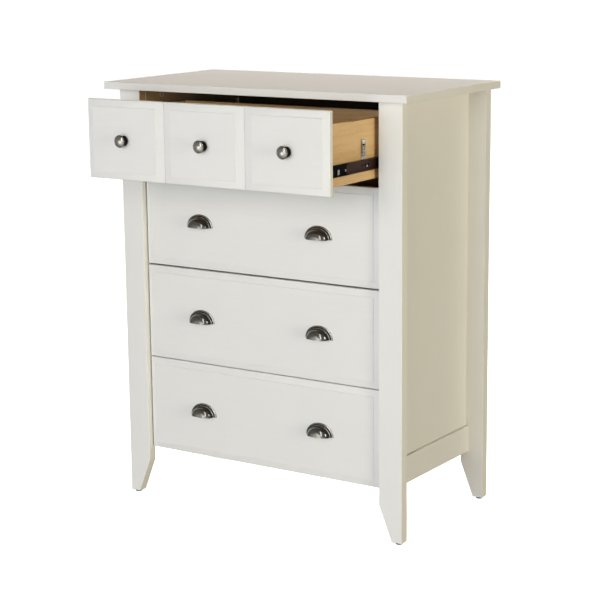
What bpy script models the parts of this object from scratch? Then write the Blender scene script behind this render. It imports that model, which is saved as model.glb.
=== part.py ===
"""Four-drawer chest with a full-width three-panel top drawer.

Flat-pack carcass: top board, four tapered board legs, recessed side panels
with a lower side rail, hardboard back, hidden front stretcher and four
nail-on glides.  Four inset drawers run on side-mounted ball-bearing slides
(a cabinet member and a drawer member on each side).  The top drawer carries
three round knobs, the other three carry two cup pulls each.

Units are metres, +Z is up, the front faces -Y and left is -X.  The origin is
on the floor, on the centre line, in the middle of the overall depth with the
top drawer pulled out by TOP_DRAWER_OPEN.
"""

import math

import bpy
import bmesh
from mathutils import Matrix, Vector

# ---------------------------------------------------------------- dimensions
MM = 0.001
GAP = 0.3 * MM                     # clearance between touching pieces

HEIGHT = 1095.0 * MM
TOP_WIDTH = 890.0 * MM
TOP_DEPTH = 472.0 * MM
TOP_THICK = 18.5 * MM
TOP_OVERHANG_FRONT = 28.6 * MM     # ahead of the front legs

CARCASS_WIDTH = 834.8 * MM         # over the legs
CARCASS_DEPTH = 446.2 * MM         # over the legs
LEG_TOP = HEIGHT - TOP_THICK - GAP
LEG_WIDTH = 63.9 * MM
LEG_THICK = 26.2 * MM
LEG_FOOT_WIDTH = 28.0 * MM
LEG_TAPER_TOP = 95.0 * MM          # height where the inner edge starts to taper
LEG_TAPER_ROUND = 45.0 * MM        # radius of the bend into the taper
LEG_BEND_STEPS = 4

GLIDE_DIAMETER = 18.0 * MM
GLIDE_HEIGHT = 4.8 * MM

SIDE_PANEL_OUTER = 368.3 * MM      # centre line to outer face
SIDE_PANEL_THICK = 15.0 * MM
SIDE_PANEL_INNER = SIDE_PANEL_OUTER - SIDE_PANEL_THICK
SIDE_RAIL_OUTER = 377.2 * MM
SIDE_RAIL_BOTTOM = 127.6 * MM
SIDE_RAIL_TOP = 197.3 * MM
BACK_THICK = 3.0 * MM
BACK_INSET = 7.0 * MM              # in from the rear face of the rear legs
STRETCHER_HEIGHT = 17.0 * MM
STRETCHER_DEPTH = 60.0 * MM

FRONT_WIDTH = 700.2 * MM
FRONT_THICK = 16.0 * MM
FRONT_RECESS = 10.0 * MM           # raised field behind the leg faces
BORDER = 18.5 * MM                 # width of the sloping border
BORDER_MID = 22.5 * MM             # border beside a groove of the top drawer
BORDER_DROP = 4.4 * MM             # field to outer edge
BEAD = 0.8 * MM                    # small step at the edge of the field
BEAD_DROP = 0.9 * MM
TOP_FRONT_COLUMNS = 3              # raised fields on the top drawer
# bottom and top edge of each front, from the top drawer down
FRONT_EDGES = ((876.7 * MM, 1070.8 * MM), (626.6 * MM, 870.0 * MM),
               (379.4 * MM, 622.6 * MM), (131.7 * MM, 377.4 * MM))

BOX_OUTER = 340.0 * MM             # centre line to outer face of a drawer side
BOX_BOARD = 12.0 * MM
BOX_INNER = BOX_OUTER - BOX_BOARD
BOX_DEPTH = 367.5 * MM
BOX_ABOVE_FRONT_EDGE = 17.6 * MM   # front's lower edge to box bottom
BOX_BELOW_FRONT_TOP = 34.4 * MM    # front's upper edge to box top
BOTTOM_THICK = 4.0 * MM
BOTTOM_RISE = 10.0 * MM            # box bottom to drawer bottom
GROOVE_SIDE = 6.0 * MM             # groove depth in the drawer sides
GROOVE_FRONT = 5.3 * MM            # groove depth in the drawer front
GROOVE_TOOL_EXCESS = 2.0 * MM      # groove cutter standing out behind the front

SLIDE_LENGTH = 350.0 * MM
SLIDE_SETBACK = 2.2 * MM           # drawer member behind the drawer front,
                                   # cabinet member behind the front legs
SLIDE_RISE = 37.0 * MM             # box bottom to slide centre line
SLIDE_STEEL = 1.2 * MM
DRAWER_MEMBER_HEIGHT = 27.0 * MM
DRAWER_MEMBER_DEPTH = 8.7 * MM
CABINET_MEMBER_HEIGHT = 37.0 * MM
CABINET_MEMBER_DEPTH = 10.5 * MM
SLOT_LENGTH = 10.0 * MM
SLOT_WIDTH = 5.0 * MM
SHORT_SLOT = SLOT_WIDTH + 0.5 * MM     # nearly round hole
SLOT_END_STEPS = 4
# holes of each member: (distance behind its front end, slot length)
DRAWER_MEMBER_SLOTS = ((33.5 * MM, SHORT_SLOT), (65 * MM, SHORT_SLOT),
                       (160 * MM, SLOT_LENGTH), (290 * MM, SLOT_LENGTH))
CABINET_MEMBER_SLOTS = ((30 * MM, SLOT_LENGTH), (300 * MM, SLOT_LENGTH))

KNOB_DIAMETER = 31.0 * MM
KNOB_PROJECTION = 23.7 * MM
KNOB_FACE_RADIUS = 24.0 * MM       # of the domed face
KNOB_DOME_REACH = 0.86             # edge of the dome, as a share of the radius
KNOB_DOME_STEPS = 4
KNOB_BASE_DIAMETER = 25.0 * MM
KNOB_BASE_HEIGHT = 3.5 * MM
KNOB_SPACING = 236.0 * MM
KNOB_RISE = 96.5 * MM              # front's lower edge to knob axis

CUP_SPACING = 178.0 * MM           # centre line to middle of a pull
CUP_WIDTH = 80.5 * MM
CUP_HEIGHT = 32.5 * MM
CUP_DROP = 13.0 * MM               # lower rim below the middle of the front
CUP_PROJECTION = 24.0 * MM
CUP_FLANGE = 3.8 * MM
CUP_FLANGE_THICK = 2.0 * MM
CUP_FLANGE_OVERLAP = 1.0 * MM      # flange reaching in past the hood's wall
CUP_TAB = 0.8 * MM                 # flange ends below the hood's rim
CUP_WALL = 1.6 * MM
CUP_HOOD_SEGMENTS = 28
CUP_HOOD_RINGS = 14
CUP_FLANGE_STEPS = 20

TOP_DRAWER_OPEN = 220.8 * MM       # how far the top drawer stands open

# leg faces to the foremost point, the knobs of the open drawer
FRONT_REACH = TOP_DRAWER_OPEN - FRONT_RECESS + GAP + KNOB_PROJECTION
# world y of the carcass planes
LEG_FACE_Y = (FRONT_REACH - CARCASS_DEPTH) / 2
CARCASS_BACK_Y = LEG_FACE_Y + CARCASS_DEPTH
BEHIND_FRONT_LEG_Y = LEG_FACE_Y + LEG_THICK + GAP

NAME = "four_drawer_chest"
SIDES = (("left", -1), ("right", 1))
QUARTER_TURN = math.pi / 2
TILTED = (QUARTER_TURN, 0.0, 0.0)  # local y points up, local z to the front

# ------------------------------------------------------------------ finishes
WHITE = dict(colour=(0.72, 0.71, 0.67), roughness=0.45, metallic=0.0)
MAPLE = dict(colour=(0.53, 0.35, 0.16), roughness=0.5, metallic=0.0)
BROWN_BOARD = dict(colour=(0.20, 0.13, 0.07), roughness=0.7, metallic=0.0)
NICKEL = dict(colour=(0.55, 0.54, 0.51), roughness=0.25, metallic=1.0)
DARK_STEEL = dict(colour=(0.045, 0.035, 0.032), roughness=0.4, metallic=1.0)
GREY_PLASTIC = dict(colour=(0.09, 0.09, 0.09), roughness=0.5, metallic=0.0)


def finish(name, colour, roughness, metallic):
    """A Principled material of its own for one piece."""
    material = bpy.data.materials.new("finish_" + name)
    material.use_nodes = True
    shader = material.node_tree.nodes["Principled BSDF"]
    shader.inputs["Base Color"].default_value = (*colour, 1.0)
    shader.inputs["Roughness"].default_value = roughness
    shader.inputs["Metallic"].default_value = metallic
    material.diffuse_color = (*colour, 1.0)
    return material


# --------------------------------------------------------- scene and objects
def clear_scene():
    for obj in list(bpy.data.objects):
        bpy.data.objects.remove(obj, do_unlink=True)


def scene_collection(name):
    group = bpy.data.collections.get(name)
    if group is None:
        group = bpy.data.collections.new(name)
        bpy.context.scene.collection.children.link(group)
    return group


clear_scene()
PARTS = scene_collection(NAME)
CUTTERS = scene_collection(NAME + "_cutters")


def new_part(name, data):
    obj = bpy.data.objects.new(name, data)
    PARTS.objects.link(obj)
    return obj


def empty(name, at):
    obj = new_part(name, None)
    obj.empty_display_size = 0.05
    obj.location = at
    return obj


def place(name, mesh, parent, at, look, rotation=(0.0, 0.0, 0.0)):
    """Add one named piece under an empty, at a point in world coordinates."""
    obj = new_part(name, mesh)
    obj.parent = parent
    obj.location = Vector(at) - parent.location
    obj.rotation_euler = rotation
    # the slot is linked to the object, so a shared mesh can vary in finish
    if not mesh.materials:
        mesh.materials.append(None)
    obj.material_slots[0].link = "OBJECT"
    obj.material_slots[0].material = finish(name, **look)
    return obj


def cutter(name, mesh, at):
    """A helper object for a boolean modifier."""
    obj = bpy.data.objects.new(name, mesh)
    CUTTERS.objects.link(obj)
    obj.location = at
    obj.hide_render = True
    obj.display_type = "WIRE"
    return obj


def add_boolean(obj, tool, operation="DIFFERENCE"):
    modifier = obj.modifiers.new(tool.name, "BOOLEAN")
    modifier.operation = operation
    modifier.solver = "EXACT"
    modifier.object = tool


# --------------------------------------------------------------- mesh makers
def to_mesh(bm, name):
    mesh = bpy.data.meshes.new(name)
    bm.to_mesh(mesh)
    bm.free()
    return mesh


def baked(temp, name):
    """The evaluated mesh of a temporary object, welded; the object goes."""
    bpy.context.view_layer.update()
    depsgraph = bpy.context.evaluated_depsgraph_get()
    mesh = bpy.data.meshes.new_from_object(temp.evaluated_get(depsgraph))
    mesh.name = name
    bm = bmesh.new()
    bm.from_mesh(mesh)
    bmesh.ops.remove_doubles(bm, verts=bm.verts, dist=1e-6)
    bmesh.ops.recalc_face_normals(bm, faces=bm.faces)
    bm.to_mesh(mesh)
    bm.free()
    bpy.data.objects.remove(temp, do_unlink=True)
    return mesh


def smooth(mesh, sharp_degrees):
    mesh.shade_smooth()
    mesh.set_sharp_from_angle(angle=math.radians(sharp_degrees))


def bisect(bm, point, normal, tolerance, clear_outer=False):
    """Cut a bmesh along a plane; clear_outer drops the side normal faces."""
    bmesh.ops.bisect_plane(bm, geom=bm.verts[:] + bm.edges[:] + bm.faces[:],
                           dist=tolerance, plane_co=point, plane_no=normal,
                           clear_outer=clear_outer)


def box_mesh(name, size_x, size_y, size_z):
    bm = bmesh.new()
    bmesh.ops.create_cube(bm, size=1.0,
                          matrix=Matrix.Diagonal((size_x, size_y, size_z, 1.0)))
    return to_mesh(bm, name)


def board(name, x, y, z, parent, look):
    """A plain board between world limits x, y and z, each (low, high)."""
    limits = (x, y, z)
    mesh = box_mesh(name, *(high - low for low, high in limits))
    place(name, mesh, parent, [(low + high) / 2 for low, high in limits], look)


def mirrored(points, side):
    """An outline drawn for the right, mirrored in x when side is -1."""
    points = [(side * x, y) for x, y in points]
    return points if side > 0 else points[::-1]


def outline_mesh(name, points, thickness):
    """A flat outline (x, y) with a thickness along z, middle at z = 0."""
    curve = bpy.data.curves.new(name, "CURVE")
    curve.dimensions = "2D"
    curve.fill_mode = "BOTH"
    curve.extrude = thickness / 2
    spline = curve.splines.new("POLY")
    spline.points.add(len(points) - 1)
    for point, (x, y) in zip(spline.points, points):
        point.co = (x, y, 0.0, 1.0)
    spline.use_cyclic_u = True
    mesh = baked(new_part(name + "_outline", curve), name)
    bpy.data.curves.remove(curve)
    return mesh


def turned_mesh(name, profile, steps):
    """Profile points (radius, height), top to bottom, turned about z."""
    mesh = bpy.data.meshes.new(name + "_profile")
    mesh.from_pydata([(radius, 0.0, z) for radius, z in profile],
                     [(i, i + 1) for i in range(len(profile) - 1)], [])
    temp = new_part(name + "_profile", mesh)
    screw = temp.modifiers.new("turn", "SCREW")
    screw.steps = steps
    screw.render_steps = steps
    screw.use_merge_vertices = True
    screw.merge_threshold = 0.00001
    turned = baked(temp, name)
    smooth(turned, sharp_degrees=40)
    return turned


# --------------------------------------------------------------- the carcass
def leg_outline():
    """Leg seen from the front, outer edge at x = 0, inner edge at -width.

    The inner edge runs down straight, rounds over and tapers to the foot.
    """
    foot = GLIDE_HEIGHT + GAP
    corner = Vector((-LEG_WIDTH, LEG_TAPER_TOP))
    toe = Vector((-LEG_FOOT_WIDTH, foot))
    taper = (toe - corner).normalized()
    half_bend = taper.angle(Vector((0.0, -1.0))) / 2
    reach = LEG_TAPER_ROUND * math.tan(half_bend)    # corner to tangent point
    centre = corner + Vector((LEG_TAPER_ROUND, reach))
    points = [(0.0, LEG_TOP), (-LEG_WIDTH, LEG_TOP)]
    for i in range(LEG_BEND_STEPS + 1):
        angle = math.pi + 2 * half_bend * i / LEG_BEND_STEPS
        points.append((centre.x + LEG_TAPER_ROUND * math.cos(angle),
                       centre.y + LEG_TAPER_ROUND * math.sin(angle)))
    return points + [(toe.x, toe.y), (0.0, foot)]


def glide_mesh():
    radius, height = GLIDE_DIAMETER / 2, GLIDE_HEIGHT
    profile = [(0.0, height), (radius * 0.94, height), (radius, height * 0.80),
               (radius, height * 0.35), (radius * 0.90, 0.0), (0.0, 0.0)]
    return turned_mesh("glide", profile, steps=20)


def add_leg_and_glide(end, word, side, middle_y, glide, frame):
    """One leg, its thickness centred on middle_y, and the glide under it."""
    name = "%s_leg_%s" % (end, word)
    mesh = outline_mesh(name, mirrored(leg_outline(), side), LEG_THICK)
    place(name, mesh, frame, (side * CARCASS_WIDTH / 2, middle_y, 0.0), WHITE,
          rotation=TILTED)
    glide_x = side * (CARCASS_WIDTH / 2 - LEG_FOOT_WIDTH / 2)
    place("glide_%s_%s" % (end, word), glide, frame, (glide_x, middle_y, 0.0),
          GREY_PLASTIC)


def add_side(word, side, frame):
    """Side panel between the legs, with the rail on its outer face."""
    y = (BEHIND_FRONT_LEG_Y, CARCASS_BACK_Y - LEG_THICK - GAP)
    x = sorted((side * SIDE_PANEL_INNER, side * SIDE_PANEL_OUTER))
    board("side_panel_" + word, x, y, (SIDE_RAIL_BOTTOM, LEG_TOP), frame, WHITE)
    x = sorted((side * (SIDE_PANEL_OUTER + GAP), side * SIDE_RAIL_OUTER))
    board("side_rail_" + word, x, y, (SIDE_RAIL_BOTTOM, SIDE_RAIL_TOP),
          frame, WHITE)


def add_top(frame):
    top_front = LEG_FACE_Y - TOP_OVERHANG_FRONT
    board("top_panel", (-TOP_WIDTH / 2, TOP_WIDTH / 2),
          (top_front, top_front + TOP_DEPTH), (HEIGHT - TOP_THICK, HEIGHT),
          frame, WHITE)


def add_back_and_stretcher(frame):
    half_width = SIDE_PANEL_INNER - GAP
    x = (-half_width, half_width)
    rear_face = CARCASS_BACK_Y - BACK_INSET
    board("back_panel", x, (rear_face - BACK_THICK, rear_face),
          (SIDE_RAIL_BOTTOM, LEG_TOP), frame, BROWN_BOARD)
    board("front_stretcher", x,
          (BEHIND_FRONT_LEG_Y, BEHIND_FRONT_LEG_Y + STRETCHER_DEPTH),
          (SIDE_RAIL_BOTTOM, SIDE_RAIL_BOTTOM + STRETCHER_HEIGHT),
          frame, WHITE)


def build_carcass():
    frame = empty("carcass", (0.0, LEG_FACE_Y, 0.0))
    glide = glide_mesh()
    add_top(frame)
    for word, side in SIDES:
        for end, middle_y in (("front", LEG_FACE_Y + LEG_THICK / 2),
                              ("rear", CARCASS_BACK_Y - LEG_THICK / 2)):
            add_leg_and_glide(end, word, side, middle_y, glide, frame)
        add_side(word, side, frame)
    add_back_and_stretcher(frame)
    return frame


# ---------------------------------------------------------------- the slides
def channel_outline(height, depth):
    """C section: web at x = 0, flanges reaching to x = depth."""
    half, steel = height / 2, SLIDE_STEEL
    return [(0.0, -half), (depth, -half), (depth, -half + steel),
            (steel, -half + steel), (steel, half - steel),
            (depth, half - steel), (depth, half), (0.0, half)]


def slot_mesh(name, length):
    """Tool for a round-ended slot: long axis along y, thickness along x."""
    radius, run = SLOT_WIDTH / 2, (length - SLOT_WIDTH) / 2
    points = []
    for centre, start in ((run, -QUARTER_TURN), (-run, QUARTER_TURN)):
        for i in range(SLOT_END_STEPS + 1):
            angle = start + math.pi * i / SLOT_END_STEPS
            points.append((centre + radius * math.cos(angle),
                           radius * math.sin(angle)))
    mesh = outline_mesh(name, points, 4 * SLIDE_STEEL)
    mesh.transform(Matrix.Rotation(QUARTER_TURN, 4, "Z")
                   @ Matrix.Rotation(QUARTER_TURN, 4, "X"))
    return mesh


def member_mesh(name, height, depth, side, slots):
    """Pressed-steel member, length along y, slots through the web.

    The flanges reach towards x = side * depth.
    """
    mesh = outline_mesh(name + "_channel",
                        mirrored(channel_outline(height, depth), side),
                        SLIDE_LENGTH)
    mesh.transform(Matrix.Rotation(QUARTER_TURN, 4, "X"))
    temp = new_part(name, mesh)
    for i, (distance, length) in enumerate(slots):
        slot_name = "%s_slot_%d" % (name, i)
        at = (side * SLIDE_STEEL / 2, distance - SLIDE_LENGTH / 2, 0.0)
        add_boolean(temp, cutter(slot_name, slot_mesh(slot_name, length), at))
    return baked(temp, name)


def slide_meshes():
    """Member meshes by (kind, side)."""
    meshes = {}
    for word, side in SIDES:
        # web against the drawer side, flanges outwards
        meshes["drawer", side] = member_mesh(
            "drawer_member_" + word, DRAWER_MEMBER_HEIGHT,
            DRAWER_MEMBER_DEPTH, side, DRAWER_MEMBER_SLOTS)
        # web against the side panel, flanges inwards
        meshes["cabinet", side] = member_mesh(
            "cabinet_member_" + word, CABINET_MEMBER_HEIGHT,
            CABINET_MEMBER_DEPTH, -side, CABINET_MEMBER_SLOTS)
    return meshes


# ----------------------------------------------------------- knobs and pulls
def knob_mesh():
    """Mushroom knob: domed face, rim, cupped underside, waist, base flange."""
    radius, top = KNOB_DIAMETER / 2, KNOB_PROJECTION
    base, seat = KNOB_BASE_DIAMETER / 2, KNOB_BASE_HEIGHT
    dome_angle = math.asin(radius * KNOB_DOME_REACH / KNOB_FACE_RADIUS)
    angles = [dome_angle * i / KNOB_DOME_STEPS
              for i in range(KNOB_DOME_STEPS + 1)]
    dome = [(KNOB_FACE_RADIUS * math.sin(angle),
             top - KNOB_FACE_RADIUS * (1 - math.cos(angle)))
            for angle in angles]
    rim = [(radius * 0.96, top - 5.0 * MM), (radius, top - 6.2 * MM),
           (radius * 0.97, top - 7.7 * MM)]
    underside = [(radius * 0.78, top - 9.3 * MM), (radius * 0.50, top - 11.0 * MM)]
    waist = [(radius * 0.39, top - 13.6 * MM), (radius * 0.41, seat + 3.0 * MM),
             (radius * 0.55, seat + 0.8 * MM)]
    flange = [(base * 0.97, seat), (base, seat * 0.75), (base, 0.0), (0.0, 0.0)]
    return turned_mesh("knob", dome + rim + underside + waist + flange, steps=24)


def half_ellipse(half_width, height):
    """Upper half of an ellipse, from +x round to -x."""
    angles = [math.pi * i / CUP_FLANGE_STEPS for i in range(CUP_FLANGE_STEPS + 1)]
    return [(half_width * math.cos(angle), height * math.sin(angle))
            for angle in angles]


def cup_hood(half_width, height):
    """Quarter of an ellipsoid, open below and behind, thickened inwards."""
    bm = bmesh.new()
    bmesh.ops.create_uvsphere(
        bm, u_segments=CUP_HOOD_SEGMENTS, v_segments=CUP_HOOD_RINGS, radius=1.0,
        matrix=Matrix.Diagonal((half_width, CUP_PROJECTION, height, 1.0)))
    bisect(bm, (0, 0, 0), (0, 0, -1), tolerance=1e-7, clear_outer=True)
    # the hood ends within the thickness of the flange
    bisect(bm, (0, -0.4 * CUP_FLANGE_THICK, 0), (0, 1, 0), tolerance=1e-7,
           clear_outer=True)
    hood = new_part("cup_hood", to_mesh(bm, "cup_hood"))
    shell = hood.modifiers.new("wall", "SOLIDIFY")
    shell.thickness = CUP_WALL
    shell.offset = -1.0
    return hood


def cup_flange(hood_half_width, hood_height):
    """Crescent flange, its ends reaching a little below the hood's rim."""
    outer_x = CUP_WIDTH / 2
    inset = CUP_WALL + CUP_FLANGE_OVERLAP
    inner_x, inner_height = hood_half_width - inset, hood_height - inset
    points = ([(outer_x, -CUP_TAB)]
              + half_ellipse(outer_x, CUP_HEIGHT)
              + [(-outer_x, -CUP_TAB), (-inner_x, -CUP_TAB)]
              + half_ellipse(inner_x, inner_height)[::-1]
              + [(inner_x, -CUP_TAB)])
    mesh = outline_mesh("cup_flange", points, CUP_FLANGE_THICK)
    mesh.transform(Matrix.Translation((0, -CUP_FLANGE_THICK / 2, 0))
                   @ Matrix.Rotation(QUARTER_TURN, 4, "X"))
    return cutter("cup_flange", mesh, (0.0, 0.0, 0.0))


def cup_mesh():
    """Cup pull, hood's lower rim at z = 0, back of the flange at y = 0."""
    half_width = CUP_WIDTH / 2 - CUP_FLANGE
    height = CUP_HEIGHT - CUP_FLANGE
    hood = cup_hood(half_width, height)
    add_boolean(hood, cup_flange(half_width, height), "UNION")
    mesh = baked(hood, "cup_pull")
    smooth(mesh, sharp_degrees=35)
    return mesh


# --------------------------------------------------------------- the drawers
class Drawer:
    """World heights (z) and depths (y) of one drawer, and its empty."""

    def __init__(self, number):
        self.number = number
        self.tag = "drawer%d_" % number
        self.is_top = number == 1
        self.low, self.high = FRONT_EDGES[number - 1]
        self.middle = (self.low + self.high) / 2
        self.box_bottom = self.low + BOX_ABOVE_FRONT_EDGE
        self.box_top = self.high - BOX_BELOW_FRONT_TOP
        self.floor = self.box_bottom + BOTTOM_RISE   # underside of the bottom
        self.slide_z = self.box_bottom + SLIDE_RISE

        opened = TOP_DRAWER_OPEN if self.is_top else 0.0
        self.field = LEG_FACE_Y + FRONT_RECESS - opened
        self.front_back = self.field + FRONT_THICK   # back face of the front
        self.box_front = self.front_back + GAP
        self.box_back = self.box_front + BOX_DEPTH
        # the empty stands at the height of the slides
        self.axis = empty(self.tag + "axis", (0.0, self.field, self.slide_z))


def raise_field(face, lines, height):
    """Give one panel its sloping border, bead and flat field."""
    middle = face.calc_center_median().x
    low = max(x for x in lines if x < middle)
    high = min(x for x in lines if x > middle)
    left = low + (BORDER if low == lines[0] else BORDER_MID)
    right = high - (BORDER if high == lines[-1] else BORDER_MID)
    # foot of the bead, then the field; outset is measured from the field
    for outset, y in ((BEAD, BEAD_DROP), (0.0, 0.0)):
        # every new vertex is moved below; the inset only makes the faces
        inner_half = height / 2 - BORDER + outset
        face_region = [face]
        bmesh_inset(face_region)
        for vert in face.verts:
            x = left - outset if vert.co.x < middle else right + outset
            vert.co = (x, y, math.copysign(inner_half, vert.co.z))


def front_mesh(name, height, columns):
    """Board with a row of raised fields.

    Origin in the middle of the field plane; the board reaches back to
    y = FRONT_THICK.
    """
    bm = bmesh.new()
    bmesh.ops.create_cube(
        bm, size=1.0,
        matrix=Matrix.Translation((0.0, FRONT_THICK / 2, 0.0))
        @ Matrix.Diagonal((FRONT_WIDTH, FRONT_THICK, height, 1.0)))
    lines = [FRONT_WIDTH * (i / columns - 0.5) for i in range(columns + 1)]
    for x in lines[1:-1]:
        bisect(bm, (x, 0.0, 0.0), (1.0, 0.0, 0.0), tolerance=1e-6)
    panels = [face for face in bm.faces if face.normal.y < -0.9]
    for vert in {vert for face in panels for vert in face.verts}:
        vert.co.y = BORDER_DROP
    for face in panels:
        raise_field(bm, face, lines, height)
    bm.normal_update()
    return to_mesh(bm, name)


def raise_field(bm, face, lines, height):
    """Give one panel its sloping border, bead and flat field."""
    middle = face.calc_center_median().x
    low = max(x for x in lines if x < middle)
    high = min(x for x in lines if x > middle)
    left = low + (BORDER if low == lines[0] else BORDER_MID)
    right = high - (BORDER if high == lines[-1] else BORDER_MID)
    # first the foot of the bead, a bead's width outside the field, then the field
    for outset, y in ((BEAD, BEAD_DROP), (0.0, 0.0)):
        bmesh.ops.inset_region(bm, faces=[face], thickness=BEAD,
                               use_even_offset=True)
        for vert in face.verts:
            x = left - outset if vert.co.x < middle else right + outset
            z = height / 2 - BORDER + outset
            vert.co = (x, y, math.copysign(z, vert.co.z))


def side_outline(height):
    """Cross section of a drawer side with the groove for the bottom.

    x = 0 on the outer face, the inner face is at x = -BOX_BOARD.
    """
    inner, groove = -BOX_BOARD, -(BOX_BOARD - GROOVE_SIDE)
    groove_low = BOTTOM_RISE - GAP
    groove_high = BOTTOM_RISE + BOTTOM_THICK + GAP
    return [(inner, 0.0), (inner, groove_low), (groove, groove_low),
            (groove, groove_high), (inner, groove_high), (inner, height),
            (0.0, height), (0.0, 0.0)]


def add_front(drawer):
    """Drawer front, with a groove in its back for the bottom."""
    name = drawer.tag + "front"
    columns = TOP_FRONT_COLUMNS if drawer.is_top else 1
    mesh = front_mesh(name, drawer.high - drawer.low, columns)
    front = place(name, mesh, drawer.axis, (0.0, drawer.field, drawer.middle),
                  WHITE)
    depth = GROOVE_FRONT + GROOVE_TOOL_EXCESS
    tool_mesh = box_mesh(name + "_groove", 2 * (BOX_INNER + GROOVE_SIDE), depth,
                         BOTTOM_THICK + 2 * GAP)
    at = (0.0, drawer.front_back - GROOVE_FRONT + depth / 2,
          drawer.floor + BOTTOM_THICK / 2)
    add_boolean(front, cutter(name + "_groove", tool_mesh, at))


def add_box_side(drawer, word, side):
    name = drawer.tag + "side_" + word
    outline = mirrored(side_outline(drawer.box_top - drawer.box_bottom), side)
    at = (side * BOX_OUTER, (drawer.box_front + drawer.box_back) / 2,
          drawer.box_bottom)
    place(name, outline_mesh(name, outline, BOX_DEPTH), drawer.axis, at, MAPLE,
          rotation=TILTED)


def add_slide(drawer, word, side, frame, slides):
    """Both members of one slide; only the drawer member moves."""
    setback = SLIDE_SETBACK + SLIDE_LENGTH / 2
    place(drawer.tag + "slide_" + word, slides["drawer", side], drawer.axis,
          (side * (BOX_OUTER + GAP), drawer.front_back + setback,
           drawer.slide_z), DARK_STEEL)
    place("cabinet_slide%d_%s" % (drawer.number, word), slides["cabinet", side],
          frame, (side * (SIDE_PANEL_INNER - GAP),
                  LEG_FACE_Y + LEG_THICK + setback, drawer.slide_z), DARK_STEEL)


def add_box_back(drawer):
    """Box back, standing on the drawer bottom."""
    half_width = BOX_INNER - GAP
    board(drawer.tag + "back", (-half_width, half_width),
          (drawer.box_back - BOX_BOARD, drawer.box_back),
          (drawer.floor + BOTTOM_THICK + GAP, drawer.box_top),
          drawer.axis, MAPLE)


def add_bottom(drawer):
    """Drawer bottom, held in the grooves of the sides and front."""
    half_width = BOX_INNER + GROOVE_SIDE - GAP
    board(drawer.tag + "bottom", (-half_width, half_width),
          (drawer.front_back - GROOVE_FRONT + GAP, drawer.box_back),
          (drawer.floor, drawer.floor + BOTTOM_THICK),
          drawer.axis, BROWN_BOARD)


def add_knobs(drawer, knob):
    for word, x in (("left", -KNOB_SPACING), ("centre", 0.0),
                    ("right", KNOB_SPACING)):
        place(drawer.tag + "knob_" + word, knob, drawer.axis,
              (x, drawer.field - GAP, drawer.low + KNOB_RISE), NICKEL,
              rotation=TILTED)


def add_pulls(drawer, cup):
    for word, side in SIDES:
        place(drawer.tag + "pull_" + word, cup, drawer.axis,
              (side * CUP_SPACING, drawer.field - GAP, drawer.middle - CUP_DROP),
              NICKEL)


def build_drawer(number, frame, slides, knob, cup):
    drawer = Drawer(number)
    add_front(drawer)
    for word, side in SIDES:
        add_box_side(drawer, word, side)
        add_slide(drawer, word, side, frame, slides)
    add_box_back(drawer)
    add_bottom(drawer)
    if drawer.is_top:
        add_knobs(drawer, knob)
    else:
        add_pulls(drawer, cup)


def build_chest():
    frame = build_carcass()
    slides, knob, cup = slide_meshes(), knob_mesh(), cup_mesh()
    for number in range(1, len(FRONT_EDGES) + 1):
        build_drawer(number, frame, slides, knob, cup)
    bpy.context.view_layer.update()


build_chest()
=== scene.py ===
"""Four-drawer chest on tapered legs: detailed meshes, materials and studio.

Metres, +Z up.  The chest stands on z = 0, centred on x = 0, with its drawers
facing -y; left is -x.  Wherever "side" appears, -1 is left and +1 is right.
"""

import math

import bmesh
import bpy
from mathutils import Matrix, Vector

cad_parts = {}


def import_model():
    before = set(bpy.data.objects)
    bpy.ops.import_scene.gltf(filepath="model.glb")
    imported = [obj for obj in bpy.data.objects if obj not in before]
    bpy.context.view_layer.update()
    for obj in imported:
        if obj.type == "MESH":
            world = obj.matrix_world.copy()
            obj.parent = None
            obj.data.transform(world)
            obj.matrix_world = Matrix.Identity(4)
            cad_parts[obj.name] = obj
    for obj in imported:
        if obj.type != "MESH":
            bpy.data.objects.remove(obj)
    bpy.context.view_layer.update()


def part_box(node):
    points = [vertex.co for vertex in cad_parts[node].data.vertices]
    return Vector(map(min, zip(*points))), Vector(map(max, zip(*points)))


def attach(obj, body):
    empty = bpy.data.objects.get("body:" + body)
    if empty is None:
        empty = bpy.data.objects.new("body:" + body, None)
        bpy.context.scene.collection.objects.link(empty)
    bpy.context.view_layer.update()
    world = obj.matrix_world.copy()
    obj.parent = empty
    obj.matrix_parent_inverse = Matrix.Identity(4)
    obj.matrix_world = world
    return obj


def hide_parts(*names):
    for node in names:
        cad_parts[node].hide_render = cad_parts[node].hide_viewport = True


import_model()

MM = 0.001
SCENE = bpy.context.scene
SIDES = (("left", -1), ("right", 1))
QUARTER = math.pi / 2

PANEL_INNER_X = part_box("side_panel_right")[0].x
LEG_FRONT_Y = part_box("front_leg_right")[0].y


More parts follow.
